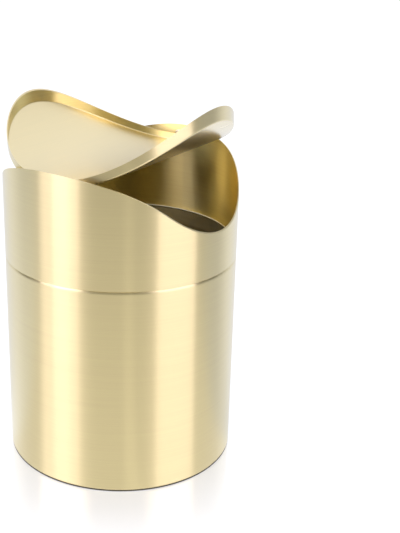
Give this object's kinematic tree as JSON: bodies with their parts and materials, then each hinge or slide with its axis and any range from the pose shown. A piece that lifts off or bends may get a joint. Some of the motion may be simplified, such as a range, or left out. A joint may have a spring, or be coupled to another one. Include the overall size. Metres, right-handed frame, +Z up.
{
  "type": "countertop trash can with swing lid",
  "caption": "Round countertop bin in brushed gold steel, with a wave-cut lift-off head and an arched lid that swings right round on hidden pivots.",
  "frame": {"origin": "centre of the flat base, on the surface that the bin stands on", "axes": "+Z up along the can's axis; the lid turns about +X, so the low dips of the head's rim face -Y and +Y"},
  "size_m": [0.12, 0.12, 0.1907],
  "materials": {
    "gold_steel": "brushed round the can, champagne gold coating",
    "lid_steel": "brushed champagne gold outside, satin inside",
    "plain_steel": "uncoated satin steel",
    "pin_steel": "turned",
    "nylon": "moulded natural nylon",
    "black_rubber": "matt"
  },
  "bodies": {
    "bin": {"body_shell": "gold_steel", "base_plate": "plain_steel", "base_ring": "black_rubber", "neck_ring": "plain_steel"},
    "head": {"collar_shell": "gold_steel", "left_pivot_plate": "plain_steel", "right_pivot_plate": "plain_steel", "left_pivot_stud": "pin_steel", "right_pivot_stud": "pin_steel"},
    "lid": {"lid_shell": "lid_steel", "left_pivot_bush": "nylon", "right_pivot_bush": "nylon"}
  },
  "joints": [
    {"name": "head_lift", "type": "slide", "parent": "bin", "child": "head", "axis": [0, 0, 1], "range_m": [0, 0.03]},
    {"name": "lid_swing", "type": "hinge", "parent": "head", "child": "lid", "pos_m": [0, 0, 0.1579], "axis": [1, 0, 0], "continuous": true}
  ]
}
